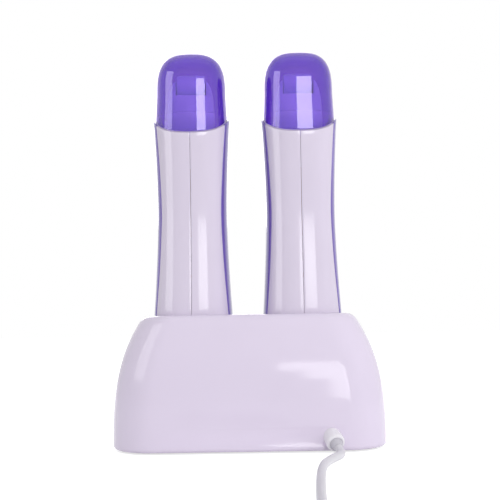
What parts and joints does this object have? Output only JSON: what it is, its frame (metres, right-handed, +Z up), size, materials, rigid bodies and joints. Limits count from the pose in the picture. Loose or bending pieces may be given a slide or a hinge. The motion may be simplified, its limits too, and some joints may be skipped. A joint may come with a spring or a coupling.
{
  "type": "wax warmer",
  "caption": "Roll-on wax warmer: lift-out waisted heating handles with clear caps and roller cartridges, standing in the wells of one bell-shaped mains base with rocker switches.",
  "frame": {"origin": "on the table under the middle of the base, at the bottom centre of the object without its lead", "axes": "+Z up; front, with the windows and switches, towards -Y; the lead leaves the back at +Y; the left warmer, as seen from the front, at -X"},
  "size_m": [0.2184, 0.4178, 0.3253],
  "materials": {
    "shell": "glossy lilac-white ABS",
    "plate": "fine-textured white ABS",
    "side_panel": "glossy translucent purple",
    "window": "clear purple polycarbonate",
    "cap": "clear purple polycarbonate",
    "lamp": "frosted indicator lens",
    "inner_plastic": "dark moulded nylon",
    "rocker": "glossy black",
    "lead": "soft white PVC",
    "strain_relief": "grey PVC",
    "foot": "dark rubber",
    "screw": "zinc-plated steel",
    "plug_pin": "nickel plate",
    "contact": "bare brass",
    "sleeve": "satin aluminium",
    "heater_pad": "heating element in amber film",
    "wax": "honey-coloured wax in a clear cartridge"
  },
  "bodies": {
    "base": {"base_housing": "shell", "base_plate": "plate", "cord_gland": "shell", "strain_relief": "strain_relief", "cord_clamp": "inner_plastic", "terminal_block": "inner_plastic", "inner_lead": "lead", "power_cord": "lead", "cord_coil": "lead", "plug_body": "lead", "plug_pin_1": "plug_pin", "plug_pin_2": "plug_pin", "foot_front_left": "foot", "foot_front_right": "foot", "foot_back_left": "foot", "foot_back_right": "foot", "screw_1": "screw", "screw_2": "screw", "screw_3": "screw", "screw_4": "screw", "left_well": "shell", "left_contact_block": "inner_plastic", "left_contact_pin_outer": "contact", "left_contact_pin_inner": "contact", "left_switch_body": "inner_plastic", "right_well": "shell", "right_contact_block": "inner_plastic", "right_contact_pin_outer": "contact", "right_contact_pin_inner": "contact", "right_switch_body": "inner_plastic"},
    "left_warmer": {"left_casing_outboard": "shell", "left_casing_inboard": "shell", "left_side_panel_outboard": "side_panel", "left_side_panel_inboard": "side_panel", "left_window": "window", "left_lamp": "lamp", "left_socket": "inner_plastic", "left_heater_sleeve": "sleeve", "left_heater_pad": "heater_pad", "left_thermostat": "inner_plastic"},
    "left_wax": {"left_cartridge": "wax", "left_roller_head": "shell"},
    "left_wax_roller": {"left_roller": "shell"},
    "left_cover": {"left_cap": "cap"},
    "left_switch": {"left_rocker": "rocker"},
    "right_warmer": {"right_casing_outboard": "shell", "right_casing_inboard": "shell", "right_side_panel_outboard": "side_panel", "right_side_panel_inboard": "side_panel", "right_window": "window", "right_lamp": "lamp", "right_socket": "inner_plastic", "right_heater_sleeve": "sleeve", "right_heater_pad": "heater_pad", "right_thermostat": "inner_plastic"},
    "right_wax": {"right_cartridge": "wax", "right_roller_head": "shell"},
    "right_wax_roller": {"right_roller": "shell"},
    "right_cover": {"right_cap": "cap"},
    "right_switch": {"right_rocker": "rocker"}
  },
  "joints": [
    {"name": "left_warmer_lift", "type": "slide", "parent": "base", "child": "left_warmer", "axis": [0, 0, 1], "range_m": [0, 0.08]},
    {"name": "left_cartridge_lift", "type": "slide", "parent": "left_warmer", "child": "left_wax", "axis": [0, 0, 1], "range_m": [0, 0.12]},
    {"name": "left_cap_lift", "type": "slide", "parent": "left_wax", "child": "left_cover", "axis": [0, 0, 1], "range_m": [0, 0.08]},
    {"name": "left_roller_spin", "type": "hinge", "parent": "left_wax", "child": "left_wax_roller", "pos_m": [-0.045, 0, 0.2998], "axis": [1, 0, 0], "continuous": true},
    {"name": "left_rocker_tilt", "type": "hinge", "parent": "base", "child": "left_switch", "pos_m": [-0.045, -0.05181, 0.036], "axis": [1, 0, 0], "range_deg": [-16, 0]},
    {"name": "right_warmer_lift", "type": "slide", "parent": "base", "child": "right_warmer", "axis": [0, 0, 1], "range_m": [0, 0.08]},
    {"name": "right_cartridge_lift", "type": "slide", "parent": "right_warmer", "child": "right_wax", "axis": [0, 0, 1], "range_m": [0, 0.12]},
    {"name": "right_cap_lift", "type": "slide", "parent": "right_wax", "child": "right_cover", "axis": [0, 0, 1], "range_m": [0, 0.08]},
    {"name": "right_roller_spin", "type": "hinge", "parent": "right_wax", "child": "right_wax_roller", "pos_m": [0.045, 0, 0.2998], "axis": [1, 0, 0], "continuous": true},
    {"name": "right_rocker_tilt", "type": "hinge", "parent": "base", "child": "right_switch", "pos_m": [0.045, -0.05181, 0.036], "axis": [1, 0, 0], "range_deg": [-16, 0]}
  ]
}
